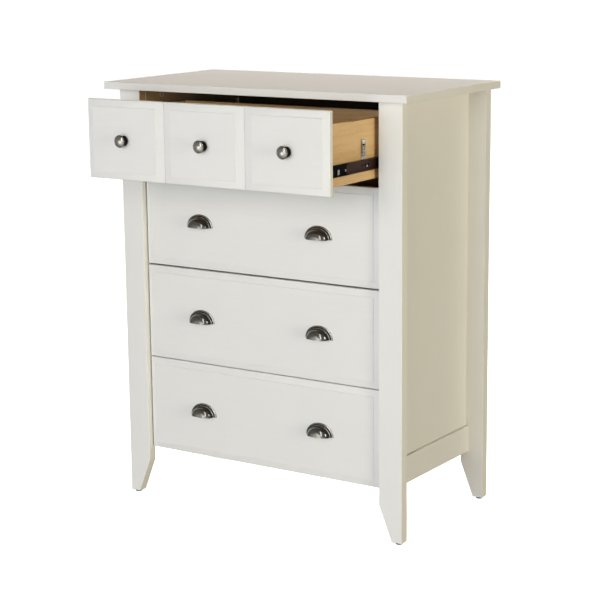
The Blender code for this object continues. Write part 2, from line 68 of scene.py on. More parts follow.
# =====================================================================
# node helpers
# =====================================================================
class Graph:
    """Short-hand for building the node tree of a material or a world."""

    def __init__(self, owner):
        owner.use_nodes = True
        self.nodes = owner.node_tree.nodes
        self.link = owner.node_tree.links.new
        self.nodes.clear()

    def add(self, kind, **props):
        node = self.nodes.new("ShaderNode" + kind)
        for key, value in props.items():
            setattr(node, key, value)
        return node

    def feed(self, socket, value):
        """Give a socket a number, an RGB colour or a link."""
        if isinstance(value, (int, float)):
            socket.default_value = value
        elif isinstance(value, tuple):
            socket.default_value = (*value, 1)
        else:
            self.link(value, socket)

    def coords(self, scale=(1, 1, 1)):
        source = self.add("TexCoord")
        mapping = self.add("Mapping")
        mapping.inputs["Scale"].default_value = scale
        self.link(source.outputs["Object"], mapping.inputs["Vector"])
        return mapping.outputs[0]

    def noise(self, vector, scale, detail=3.0, rough=0.5, distortion=0.0):
        node = self.add("TexNoise")
        node.inputs["Scale"].default_value = scale
        node.inputs["Detail"].default_value = detail
        node.inputs["Roughness"].default_value = rough
        node.inputs["Distortion"].default_value = distortion
        self.link(vector, node.inputs["Vector"])
        return node.outputs["Fac"]

    def ramp(self, factor, stops):
        """Colour ramp; stops are (position, RGB)."""
        node = self.add("ValToRGB")
        elements = node.color_ramp.elements
        while len(elements) > 1:
            elements.remove(elements[-1])
        elements[0].position = stops[0][0]
        elements[0].color = (*stops[0][1], 1)
        for position, colour in stops[1:]:
            elements.new(position).color = (*colour, 1)
        self.link(factor, node.inputs[0])
        return node.outputs[0]

    def map_range(self, value, span, to, **props):
        """Map the (min, max) of span onto those of to."""
        node = self.add("MapRange", **props)
        for i, limit in enumerate((*span, *to)):
            node.inputs[i + 1].default_value = limit
        self.link(value, node.inputs[0])
        return node.outputs[0]

    def fade(self, value, span, to):
        return self.map_range(value, span, to, interpolation_type="SMOOTHSTEP")

    def math(self, operation, first, second):
        node = self.add("Math", operation=operation)
        self.feed(node.inputs[0], first)
        self.feed(node.inputs[1], second)
        return node.outputs[0]

    def weighted_sum(self, first, first_weight, second, second_weight):
        return self.math("ADD", self.math("MULTIPLY", first, first_weight),
                         self.math("MULTIPLY", second, second_weight))

    def mix(self, factor, first, second, blend="MIX"):
        node = self.add("Mix", data_type="RGBA", blend_type=blend)
        # sockets 6 and 7 are the colour pair
        for index, value in ((0, factor), (6, first), (7, second)):
            self.feed(node.inputs[index], value)
        return node.outputs[2]

    def bump(self, height, strength, distance, normal=None):
        node = self.add("Bump")
        node.inputs["Strength"].default_value = strength
        node.inputs["Distance"].default_value = distance
        self.link(height, node.inputs["Height"])
        if normal is not None:
            self.link(normal, node.inputs["Normal"])
        return node.outputs[0]


class Look(Graph):
    """A new material with one Principled shader."""

    SOCKETS = {"base": "Base Color", "rough": "Roughness", "metal": "Metallic",
               "normal": "Normal", "spec": "Specular IOR Level"}

    def __init__(self, name):
        self.material = bpy.data.materials.new(name)
        super().__init__(self.material)
        output = self.add("OutputMaterial")
        self.principled = self.add("BsdfPrincipled")
        self.link(self.principled.outputs[0], output.inputs[0])

    def finish(self, **values):
        for key, value in values.items():
            self.feed(self.principled.inputs[self.SOCKETS[key]], value)
        return self.material


def grain_scale(axis, along=0.06, across=1):
    """Texture scale that draws a pattern out along one axis."""
    return tuple(along if name == axis else across for name in "xyz")


def lit(stops, light):
    """Ramp stops with every colour multiplied by light."""
    return [(position, tuple(value * light for value in colour))
            for position, colour in stops]


# =====================================================================
# materials; bump distances are in metres
# =====================================================================
def white_finish(name, grain):
    """Soft white satin foil: faint embossed grain, tiny mottling."""
    look = Look(name)
    along = look.coords(grain_scale(grain))
    free = look.coords()
    cloud = look.noise(free, scale=9.0)
    streak = look.noise(along, scale=170.0, detail=4.0, rough=0.6, distortion=0.25)
    pores = look.noise(along, scale=620.0, rough=0.7)
    peel = look.noise(free, scale=1500.0, detail=2.0)
    tone = look.ramp(
        look.weighted_sum(cloud, 0.5, streak, 0.5),
        [(0.30, (0.787, 0.779, 0.752)), (0.52, (0.801, 0.793, 0.767)),
         (0.72, (0.814, 0.807, 0.783))])
    rough = look.map_range(streak, span=(0.3, 0.7), to=(0.37, 0.47))
    fine = look.bump(peel, strength=0.10, distance=0.00012)
    emboss = look.math("ADD", streak, look.math("MULTIPLY", pores, 0.6))
    normal = look.bump(emboss, strength=0.16, distance=0.00018, normal=fine)
    return look.finish(base=tone, rough=rough, normal=normal, spec=0.42)


def maple_foil(name, grain):
    """Light maple pattern: long streaks, fine fibres, satin."""
    look = Look(name)
    along = look.coords(grain_scale(grain))
    slow = look.coords(grain_scale(grain, along=0.02, across=0.35))
    bands = look.noise(slow, scale=42.0, rough=0.55, distortion=0.8)
    streak = look.noise(along, scale=120.0, detail=5.0, rough=0.65, distortion=0.3)
    fibre = look.noise(along, scale=900.0, rough=0.7)
    tone = look.ramp(
        look.weighted_sum(bands, 0.55, streak, 0.45),
        [(0.30, (0.52, 0.315, 0.128)), (0.44, (0.65, 0.420, 0.194)),
         (0.55, (0.735, 0.500, 0.252)), (0.72, (0.80, 0.575, 0.32))])
    flecks = look.ramp(fibre, [(0.34, (0.72, 0.66, 0.58)), (0.46, (1, 1, 1))])
    tone = look.mix(0.45, tone, flecks, blend="MULTIPLY")
    rough = look.map_range(fibre, span=(0.3, 0.7), to=(0.40, 0.52))
    normal = look.bump(look.math("ADD", streak, fibre), strength=0.18,
                       distance=0.00015)
    return look.finish(base=tone, rough=rough, normal=normal, spec=0.4)


def hardboard(name):
    """Thin brown pressed board, fine fibres with no direction."""
    look = Look(name)
    free = look.coords()
    cloud = look.noise(free, scale=14.0, detail=4.0, rough=0.6)
    fibre = look.noise(free, scale=420.0, detail=5.0, rough=0.75, distortion=1.2)
    tone = look.ramp(
        look.weighted_sum(cloud, 0.4, fibre, 0.6),
        [(0.30, (0.17, 0.105, 0.055)), (0.50, (0.25, 0.165, 0.092)),
         (0.70, (0.33, 0.225, 0.135))])
    normal = look.bump(fibre, strength=0.35, distance=0.0003)
    return look.finish(base=tone, rough=0.72, normal=normal, spec=0.25)


def raw_board(name, light=1.0):
    """Unfinished tan fibreboard on the hidden faces."""
    look = Look(name)
    free = look.coords()
    chips = look.add("TexVoronoi")
    chips.inputs["Scale"].default_value = 420.0
    look.link(free, chips.inputs["Vector"])
    fine = look.noise(free, scale=700.0, detail=4.0, rough=0.7)
    tone = look.ramp(
        look.weighted_sum(fine, 0.7, chips.outputs["Distance"], 0.5),
        lit([(0.30, (0.27, 0.175, 0.090)), (0.55, (0.38, 0.255, 0.140)),
             (0.80, (0.46, 0.315, 0.18))], light))
    normal = look.bump(fine, strength=0.25, distance=0.0002)
    return look.finish(base=tone, rough=0.68, normal=normal, spec=0.3)


def brushed_nickel(name, light=1.0, polish=0.0):
    """Satin nickel: short brushed lines, cloudy tone, fine pits.

    light scales the colour; polish is taken off the roughness.
    """
    look = Look(name)
    lines = look.coords(grain_scale("x", along=0.05))
    brush = look.noise(lines, scale=2600.0, rough=0.6)
    cloud = look.noise(look.coords(), scale=160.0, detail=2.0)
    pits = look.noise(look.coords(), scale=3200.0, detail=2.0, rough=0.6)
    tone = look.ramp(cloud, lit([(0.3, (0.52, 0.51, 0.475)),
                                 (0.7, (0.62, 0.61, 0.57))], light))
    rough = look.map_range(brush, span=(0.3, 0.7), to=(0.21 - polish, 0.29 - polish))
    relief = look.math("ADD", brush, look.math("MULTIPLY", pits, 0.4))
    normal = look.bump(relief, strength=0.10, distance=0.00004)
    return look.finish(base=tone, rough=rough, metal=1.0, normal=normal)


def near_black_painted_shade(name):
    """Near-black nickel put in recesses and under heads: painted shade and painted
    reflection.
    """
    look = Look(name)
    cloud = look.noise(look.coords(), scale=420.0, rough=0.6)
    tone = look.ramp(cloud, [(0.3, (0.010, 0.009, 0.008)),
                             (0.7, (0.034, 0.031, 0.028))])
    normal = look.bump(cloud, strength=0.12, distance=0.00006)
    rough = look.map_range(cloud, span=(0.3, 0.7), to=(0.40, 0.30))
    return look.finish(base=tone, rough=rough, metal=0.5, normal=normal, spec=0.25)


def bright_zinc(name):
    look = Look(name)
    speck = look.noise(look.coords(), scale=900.0)
    tone = look.ramp(speck, [(0.3, (0.62, 0.64, 0.65)), (0.7, (0.80, 0.82, 0.83))])
    return look.finish(base=tone, rough=0.31, metal=0.72)


def dark_steel(name):
    """Dark bronze coat over pressed steel."""
    look = Look(name)
    speck = look.noise(look.coords(grain_scale("y", along=0.15)), scale=700.0)
    tone = look.ramp(speck, [(0.3, (0.034, 0.014, 0.012)),
                             (0.7, (0.056, 0.027, 0.023))])
    normal = look.bump(speck, strength=0.10, distance=0.00006)
    rough = look.map_range(speck, span=(0.3, 0.7), to=(0.36, 0.48))
    return look.finish(base=tone, rough=rough, metal=0.3, normal=normal, spec=0.22)


def dark_plastic(name, grey, spec):
    look = Look(name)
    peel = look.noise(look.coords(), scale=1300.0, detail=2.0)
    tone = look.ramp(peel, [(0.3, (grey * 0.85,) * 3), (0.7, (grey * 1.1,) * 3)])
    normal = look.bump(peel, strength=0.2, distance=0.0001)
    return look.finish(base=tone, rough=0.48, normal=normal, spec=spec)


# the last letter of a foil is the axis its grain runs along
MATERIALS = {
    "white_x": white_finish("white_finish_grain_x", "x"),
    "white_z": white_finish("white_finish_grain_z", "z"),
    "white_y": white_finish("white_finish_grain_y", "y"),
    "maple_y": maple_foil("maple_foil_grain_y", "y"),
    "maple_x": maple_foil("maple_foil_grain_x", "x"),
    "hardboard": hardboard("brown_hardboard"),
    "raw_and_painted_shade": raw_board("raw_fibreboard"),
    # raw board at a tenth of its brightness: painted shade for the dim inside of the
    # carcass
    "raw_painted_shade": raw_board("fibreboard_painted_shade", light=0.10),
    "nickel": brushed_nickel("satin_nickel"),
    # satin nickel at half brightness for the cup domes: painted shade standing in for
    # their dark reflections
    "nickel_dimmed_painted_shade": brushed_nickel("satin_nickel_dimmed_painted_shade", light=0.52, polish=0.05),
    # near-black nickel: painted shade in the hardware's recesses
    "painted_shade_nickel": near_black_painted_shade("near_black_painted_shade"),
    "zinc": bright_zinc("bright_zinc"),
    "steel": dark_steel("dark_slide_steel"),
    "black": dark_plastic("black_lever_plastic", grey=0.004, spec=0.03),
    "glide": dark_plastic("glide_plastic", grey=0.06, spec=0.4),
}


# =====================================================================
# mesh helpers
# =====================================================================
def link_object(name, data):
    obj = bpy.data.objects.new(name, data)
    SCENE.collection.objects.link(obj)
    return obj


def to_mesh(name, shape):
    """Turn a bmesh into mesh data and free it."""
    mesh = bpy.data.meshes.new(name)
    shape.to_mesh(mesh)
    shape.free()
    return mesh


def add_mesh(name, mesh, materials, body, slot, replaces=None, angle=30,
             weighted=True):
    """Add mesh data to the chest; edges sharper than angle degrees stay hard."""
    for key in materials:
        mesh.materials.append(MATERIALS[key])
    mesh.shade_smooth()
    mesh.set_sharp_from_angle(angle=math.radians(angle))
    obj = link_object(name, mesh)
    if weighted:
        modifier = obj.modifiers.new("weighted", "WEIGHTED_NORMAL")
        modifier.mode = "FACE_AREA"
        modifier.weight = 100
        modifier.keep_sharp = True
    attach(obj, body)
    if replaces:
        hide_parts(replaces)


def add_shape(name, shape, materials, body, slot, **options):
    """As add_mesh, from a bmesh."""
    shape.normal_update()
    add_mesh(name, to_mesh(name, shape), materials, body, slot, **options)


def middle(low, high):
    return [(a + b) / 2 for a, b in zip(low, high)]


def round_edges(shape, edges, radius, segments, clamp=True):
    bmesh.ops.bevel(shape, geom=edges, offset=radius, offset_type="OFFSET",
                    segments=segments, profile=0.5, affect="EDGES",
                    clamp_overlap=clamp)


def sharp_edges(shape, angle):
    """Edges that turn by more than angle radians."""
    return [edge for edge in shape.edges if edge.calc_face_angle(0) > angle]


def split_faces(shape, axis, place):
    """Cut new edges where the plane axis = place crosses the shape."""
    point, normal = [0, 0, 0], [0, 0, 0]
    point[axis], normal[axis] = place, 1
    bmesh.ops.bisect_plane(shape, geom=shape.verts[:] + shape.edges[:] + shape.faces[:],
                           dist=1e-7, plane_co=point, plane_no=normal)


def paint(shape, is_second):
    """Give the second material to faces where is_second(face, centre) holds."""
    for face in shape.faces:
        face.material_index = int(is_second(face, face.calc_center_median()))


def block(low, high, edge=0.0, segments=2):
    """A board between two corners with its arrises rounded."""
    shape = bmesh.new()
    size = [b - a for a, b in zip(low, high)]
    bmesh.ops.create_cube(shape, size=1.0,
                          matrix=Matrix.Translation(middle(low, high))
                          @ Matrix.Diagonal((*size, 1.0)))
    if edge:
        round_edges(shape, shape.edges[:], edge, segments)
    return shape


def extrude(points, shift):
    """Closed outline of 3D points, given depth along the vector shift."""
    shape = bmesh.new()
    face = shape.faces.new([shape.verts.new(point) for point in points])
    result = bmesh.ops.extrude_face_region(shape, geom=[face])
    moved = [item for item in result["geom"] if isinstance(item, bmesh.types.BMVert)]
    bmesh.ops.translate(shape, vec=shift, verts=moved)
    return shape


def prism(outline, front_y, back_y):
    """A closed (x, z) outline carried from front_y to back_y."""
    shape = extrude([(x, front_y, z) for x, z in outline], (0, back_y - front_y, 0))
    bmesh.ops.recalc_face_normals(shape, faces=shape.faces)
    return shape


def lathe(profile, steps, matrix=Matrix.Identity(4)):
    """Profile (radius, height) from axis to axis, turned about z."""
    shape = bmesh.new()
    rings = []
    for radius, height in profile:
        if radius < 1e-7:
            rings.append([shape.verts.new((0, 0, height))])
        else:
            rings.append([shape.verts.new((radius * math.cos(2 * math.pi * i / steps),
                                           radius * math.sin(2 * math.pi * i / steps),
                                           height)) for i in range(steps)])
    for ring, following in zip(rings, rings[1:]):
        for i in range(steps):
            j = (i + 1) % steps
            if len(ring) == 1:
                shape.faces.new((ring[0], following[i], following[j]))
            elif len(following) == 1:
                shape.faces.new((ring[i], following[0], ring[j]))
            else:
                shape.faces.new((ring[i], following[i], following[j], ring[j]))
    bmesh.ops.recalc_face_normals(shape, faces=shape.faces)
    shape.transform(matrix)
    return shape


def arc(centre_x, centre_y, radius, start, end, steps):
    """Points on an arc, angles in degrees."""
    angles = [math.radians(start + (end - start) * i / steps)
              for i in range(steps + 1)]
    return [(centre_x + radius * math.cos(angle),
             centre_y + radius * math.sin(angle)) for angle in angles]


def capsule(length, width, depth, matrix, steps):
    """Round-ended prism, long axis x, thickness along z, centred."""
    radius, run = width / 2, (length - width) / 2
    outline = (arc(run, 0, radius, -90, 90, steps)
               + arc(-run, 0, radius, 90, 270, steps))
    shape = extrude([(x, y, -depth / 2) for x, y in outline], (0, 0, depth))
    bmesh.ops.remove_doubles(shape, verts=shape.verts, dist=1e-7)
    bmesh.ops.recalc_face_normals(shape, faces=shape.faces)
    shape.transform(matrix)
    return shape


def carve(shape, cutters):
    """The shape with each cutter taken away; all the inputs are used up."""
    base = link_object("tmp_base", to_mesh("tmp_base", shape))
    tools = [link_object("tmp_cut", to_mesh("tmp_cut", cutter)) for cutter in cutters]
    for tool in tools:
        modifier = base.modifiers.new("cut", "BOOLEAN")
        modifier.operation = "DIFFERENCE"
        modifier.solver = "EXACT"
        modifier.object = tool
    bpy.context.view_layer.update()
    depsgraph = bpy.context.evaluated_depsgraph_get()
    result = bpy.data.meshes.new_from_object(base.evaluated_get(depsgraph))
    carved = bmesh.new()
    carved.from_mesh(result)
    for obj in [base] + tools:
        mesh = obj.data
        bpy.data.objects.remove(obj, do_unlink=True)
        bpy.data.meshes.remove(mesh)
    bpy.data.meshes.remove(result)
    bmesh.ops.remove_doubles(carved, verts=carved.verts, dist=1e-6)
    return carved


# =====================================================================
# carcass
# =====================================================================
TAPER_TOP = 95.0 * MM       # height where the leg starts to taper
FOOT_WIDTH = 28.0 * MM
TAPER_ROUND = 45.0 * MM     # radius that eases the leg into its taper
LEG_PAINTED_SHADE_FROM = 1020 * MM    # above this the leg's inner edge takes the brown raw-board colour, painted shade for the dim slot under the top


def board(node, material, body, slot, edge=0.6 * MM):
    add_shape(node + "_skin", block(*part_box(node), edge), [material], body, slot,
              replaces=node)


def top_panel():
    """White top; inside the carcass its underside takes the very dark raw board,
    painted shade.
    """
    shape = block(*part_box("top_panel"), 1.1 * MM, 3)
    front_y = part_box("front_leg_right")[1].y
    back_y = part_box("back_panel")[0].y
    for axis, places in ((0, (-PANEL_INNER_X, PANEL_INNER_X)), (1, (front_y, back_y))):
        for place in places:
            split_faces(shape, axis, place)
    shape.normal_update()
    # painted shade: the underside inside the carcass gets the very dark raw board
    paint(shape, lambda face, centre: (
        face.normal.z < -0.9 and abs(centre.x) < PANEL_INNER_X
        and front_y < centre.y < back_y))
    add_shape("top_panel_skin", shape, ["white_x", "raw_painted_shade"], "carcass",
              "white_finish", replaces="top_panel")


def leg(node, side):
    """Straight outer edge, inner edge rounding over into the taper."""
    low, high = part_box(node)
    width = high.x - low.x
    outer_x = high.x if side > 0 else low.x
    # drawn as a right leg with its outer edge on x = 0
    corner = Vector((-width, TAPER_TOP))
    toe = Vector((-FOOT_WIDTH, low.z))
    half_turn = (toe - corner).normalized().angle(Vector((0, -1))) / 2
    centre = corner + Vector((TAPER_ROUND, TAPER_ROUND * math.tan(half_turn)))
    outline = [(0.0, high.z), (-width, high.z)]
    for i in range(13):
        angle = math.pi + 2 * half_turn * i / 12
        outline.append((centre.x + TAPER_ROUND * math.cos(angle),
                        centre.y + TAPER_ROUND * math.sin(angle)))
    outline += [(toe.x, toe.y), (0.0, low.z)]
    shape = prism([(outer_x + side * x, z) for x, z in outline], low.y, high.y)
    round_edges(shape, sharp_edges(shape, 0.5), 1.2 * MM, 3)
    split_faces(shape, 2, LEG_PAINTED_SHADE_FROM)
    shape.normal_update()
    # painted shade: the top of the inner edge gets the brown raw board
    paint(shape, lambda face, centre: (
        face.normal.x * side < -0.3 and centre.z > LEG_PAINTED_SHADE_FROM))
    add_shape(node + "_skin", shape, ["white_z", "raw_and_painted_shade"], "carcass", "white_finish",
              replaces=node, angle=35)


def side_panel(node, side):
    """Finished outside, raw fibreboard inside."""
    shape = block(*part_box(node), 0.2 * MM)
    shape.normal_update()
    paint(shape, lambda face, centre: face.normal.x * side < -0.6)
    add_shape(node + "_skin", shape, ["white_z", "raw_and_painted_shade"], "carcass", "white_finish",
              replaces=node)


def back_panel():
    """Hardboard, with a very dark raw face towards the drawers, painted shade."""
    shape = block(*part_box("back_panel"), 0.4 * MM)
    shape.normal_update()
    # painted shade: the face towards the drawers gets the very dark raw board
    paint(shape, lambda face, centre: face.normal.y < -0.6)
    add_shape("back_panel_skin", shape, ["hardboard", "raw_painted_shade"], "carcass",
              "hardboard", replaces="back_panel")


def glide(node):
    """Plastic disc under a foot, rounded at its rim, hollow underneath."""
    low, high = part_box(node)
    x, y, _ = middle(low, high)
    radius, height = (high.x - low.x) / 2, high.z - low.z
    profile = ([(0.0, height), (radius * 0.90, height)]
               + arc(radius - 0.8 * MM, height - 0.9 * MM, 0.8 * MM, 80, 0, 4)
               + arc(radius - 1.6 * MM, 1.6 * MM, 1.6 * MM, 0, -80, 5)
               + [(radius * 0.45, 0.0), (radius * 0.36, 0.5 * MM), (0.0, 0.6 * MM)])
    shape = lathe(profile, 40, Matrix.Translation((x, y, 0)))
    add_shape(node + "_disc", shape, ["glide"], "carcass", "glide_plastic",
              replaces=node, weighted=False)


top_panel()
for word, side in SIDES:
    leg("front_leg_" + word, side)
    leg("rear_leg_" + word, side)
    board("side_rail_" + word, "white_y", "carcass", "white_finish", 0.8 * MM)
    side_panel("side_panel_" + word, side)
board("front_stretcher", "white_x", "carcass", "white_finish")
back_panel()
for end in ("front", "rear"):
    for word, side in SIDES:
        glide("glide_%s_%s" % (end, word))


# =====================================================================
# cam fasteners, set flush in the inner faces of the side panels
# =====================================================================
CAM_Z = 1058.0 * MM
CAM_SETBACKS = (("front", 92 * MM), ("rear", 354 * MM))   # from the leg's front
# radius, height in mm: recessed middle, fine groove, raised rim, barrel
CAM_PROFILE = (
    (0.0, 0.25), (5.6, 0.25), (5.8, 0.05), (6.2, 0.05), (6.4, 0.45),
    (7.3, 0.45), (7.5, 0.2), (7.5, -2.0), (0.0, -2.0))


def cross_slots(length, width, depth, height, steps):
    """Two crossed capsules that cut a cross recess at a height on z."""
    return [capsule(length, width, depth,
                    Matrix.Translation((0, 0, height)) @ Matrix.Rotation(turn, 4, "Z"),
                    steps) for turn in (0, QUARTER)]


def cam_mesh():
    """Rimmed disc with a cross slot, facing +z."""
    shape = lathe([(radius * MM, height * MM) for radius, height in CAM_PROFILE], 40)
    shape = carve(shape, cross_slots(8.4 * MM, 1.5 * MM, 2.4 * MM, 0, 6))
    # painted shade: the recessed middle takes the brown raw board, as does the barrel
    # hidden in the panel
    paint(shape, lambda face, centre: (
        math.hypot(centre.x, centre.y) < 6.1 * MM or centre.z < -0.5 * MM))
    return to_mesh("cam_fastener", shape)


CAM_MESH = cam_mesh()
for word, side in SIDES:
    for end, setback in CAM_SETBACKS:
        mesh = CAM_MESH.copy()
        place = (side * (PANEL_INNER_X - 0.1 * MM), LEG_FRONT_Y + setback, CAM_Z)
        mesh.transform(Matrix.Translation(place)
                       @ Matrix.Rotation(-side * QUARTER, 4, "Y"))
        add_mesh("cam_%s_%s" % (end, word), mesh, ["zinc", "raw_and_painted_shade"], "carcass",
                 "slide_steel", weighted=False)


# =====================================================================
# screws
# =====================================================================
SCREW_RADIUS = 3.6 * MM
SCREW_HEIGHT = 2.0 * MM


def screw_mesh():
    """Pan head with a cross recess, facing +z, seated at z = 0."""
    radius, height = SCREW_RADIUS, SCREW_HEIGHT
    profile = ([(0.0, height)]
               + arc(radius - 1.5 * MM, height - 1.5 * MM, 1.5 * MM, 85, 8, 5)
               + [(radius, 0.35 * MM), (radius * 0.96, 0.0),
                  (radius * 0.5, -0.9 * MM), (0.0, -0.9 * MM)])
    cutters = cross_slots(3.4 * MM, 0.9 * MM, 2.6 * MM, height, 4)
    return to_mesh("pan_head_screw", carve(lathe(profile, 28), cutters))


SCREW_MESH = screw_mesh()


def screw(name, seat, direction, body, size=1.0):
    """A screw whose head points along direction."""
    mesh = SCREW_MESH.copy()
    turn = Vector((0, 0, 1)).rotation_difference(Vector(direction))
    mesh.transform(Matrix.Translation(seat) @ turn.to_matrix().to_4x4()
                   @ Matrix.Scale(size, 4))
    add_mesh(name, mesh, ["zinc"], body, "slide_steel", weighted=False)


# =====================================================================
# slides
# =====================================================================
SLIDE_WALL = 1.2 * MM
SLIDE_BEND = 1.6 * MM         # outer radius where web and flange meet
SLOT_WIDTH = 5.5 * MM
SLIDE_DARK_LENGTH = 70 * MM   # blackened front end of the drawer member
LEVER_SETBACK = 4 * MM
LEVER_LENGTH = 52 * MM
LEVER_GAP = 2.2 * MM          # lever to the top and bottom of the channel
# distance from the front end, length, both in mm
DRAWER_SLOTS = ((65, 5.6), (137, 5.6), (152, 8.0), (166, 6.5), (230, 5.6),
                (290, 11.0), (330, 5.6))
CABINET_SLOTS = ((30, 10.0), (150, 5.6), (300, 10.0))
# distance from the front end in mm, size relative to the full screw
SLIDE_SCREWS = ((65.0, 0.80), (160.0, 0.68), (290.0, 0.80))


def channel(low, high, web_x, opens, lip, slots, slot_inset, slot_depth):
    """Slotted steel member: web with a shallow rib, flanges with curled lips.

    The web's back lies on web_x and the flanges reach towards opens (-1 or
    +1) in x.  slot_inset is from web_x to the middle of the slot's depth.
    """
    depth, half = high.x - low.x, (high.z - low.z) / 2
    middle_z = (low.z + high.z) / 2
    wall, bend = SLIDE_WALL, SLIDE_BEND
    # (distance from web_x, height): lower half, up to the rib in the web
    lower = (
        [(0.0, -half + bend)] + arc(bend, -half + bend, bend, 180, 270, 4)
        + [(depth - 0.3 * MM, -half), (depth, -half + 0.4 * MM),
           (depth, -half + wall + lip * 0.6), (depth - 0.5 * MM, -half + wall + lip),
           (depth - 1.1 * MM, -half + wall + lip * 0.7),
           (depth - 2.2 * MM, -half + wall + 0.1 * MM)]
        + arc(bend + wall * 0.4, -half + bend + wall * 0.4, bend - wall * 0.6,
              270, 180, 3)
        + [(wall, -half * 0.45), (wall + 0.35 * MM, -half * 0.30)])
    upper = [(x, -z) for x, z in lower][::-1]
    shape = prism([(web_x + opens * x, middle_z + z) for x, z in lower + upper],
                  low.y, high.y)
    cutters = []
    for distance, length in slots:
        place = (web_x + opens * slot_inset, low.y + distance * MM, middle_z)
        matrix = (Matrix.Translation(place) @ Matrix.Rotation(QUARTER, 4, "Z")
                  @ Matrix.Rotation(QUARTER, 4, "X"))
        cutters.append(capsule(length * MM, SLOT_WIDTH, slot_depth, matrix, 8))
    return carve(shape, cutters)


def drawer_member(node, side, body):
    """Channel on the drawer side with blind slots, screws, lever and tab."""
    low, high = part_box(node)
    middle_z = (low.z + high.z) / 2
    half = (high.z - low.z) / 2
    web_x = low.x if side > 0 else high.x
    shape = channel(low, high, web_x, side, 1.3 * MM, DRAWER_SLOTS,
                    slot_inset=1.5 * MM, slot_depth=2.0 * MM)
    dark_y = low.y + SLIDE_DARK_LENGTH
    split_faces(shape, 1, dark_y)

    # black on the front end; black in the blind slots is painted shade where the shaded
    # side board would show through
    def is_black_end_and_painted_shade(face, centre):
        in_slot = (0.3 * MM < side * (centre.x - web_x) < 1.1 * MM
                   and abs(centre.z - middle_z) < 4 * MM
                   and centre.y < high.y - 1 * MM)
        return centre.y < dark_y or in_slot

    paint(shape, is_black_end_and_painted_shade)
    add_shape(node + "_channel", shape, ["steel", "black"], body, "slide_steel",
              replaces=node, angle=40, weighted=False)
    for i, (distance, size) in enumerate(SLIDE_SCREWS):
        seat = (web_x + side * 1.25 * MM, low.y + distance * MM, middle_z - 3.2 * MM)
        screw("%s_screw_%d" % (node, i + 1), seat, (side, 0, 0), body, size)
    # black release lever in the front end of the channel
    lever_y = low.y + LEVER_SETBACK
    near_x, far_x = sorted((web_x + side * 1.5 * MM, web_x + side * 5.2 * MM))
    lever = block((near_x, lever_y, middle_z - half + LEVER_GAP),
                  (far_x, lever_y + LEVER_LENGTH, middle_z + half - LEVER_GAP),
                  0.9 * MM, 3)
    add_shape(node + "_lever", lever, ["black"], body, "slide_steel")
    # upright round-ended tab on the lever
    place = (web_x + side * 5.6 * MM, low.y + 28.5 * MM, middle_z - 3.0 * MM)
    tab = capsule(11.5 * MM, 5.0 * MM, 1.4 * MM,
                  Matrix.Translation(place) @ Matrix.Rotation(QUARTER, 4, "Y"), 10)
    round_edges(tab, sharp_edges(tab, 1.2), 0.45 * MM, 3, clamp=False)
    add_shape(node + "_tab", tab, ["zinc"], body, "slide_steel", angle=40,
              weighted=False)


def cabinet_member(node, side):
    """Channel on the carcass, opening towards the drawer, slotted through."""
    low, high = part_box(node)
    web_x = high.x if side > 0 else low.x
    shape = channel(low, high, web_x, -side, 1.1 * MM, CABINET_SLOTS,
                    slot_inset=0.6 * MM, slot_depth=6 * MM)
    add_shape(node + "_channel", shape, ["steel"], "carcass", "slide_steel",
              replaces=node, angle=40, weighted=False)


# =====================================================================
# drawer fronts
# =====================================================================
# distance in from the edge, depth behind the field, both in mm
FRONT_PROFILE = (
    (0.0, 6.4), (0.25, 5.95), (0.55, 5.15), (0.95, 4.65), (1.5, 4.36),
    (6.0, 3.32), (12.0, 1.94), (16.0, 1.02), (16.45, 1.05), (16.80, 1.36),
    (17.12, 1.44), (17.38, 1.20), (17.75, 0.42), (17.98, 0.14),
    (18.25, 0.03), (18.6, 0.0))
EDGE_ROUND = 1.5               # mm of the profile that are never stretched
FIELD_INSET = FRONT_PROFILE[-1][0]
DIVIDER_INSET = 22.5           # mm from a line between columns to the field
BACK_CHAMFER = 0.6 * MM
GROOVE_PLAY = 0.3 * MM         # room round the drawer bottom in its grooves
GROOVE_OVERCUT = 5 * MM        # how far a groove cutter stands out of the board


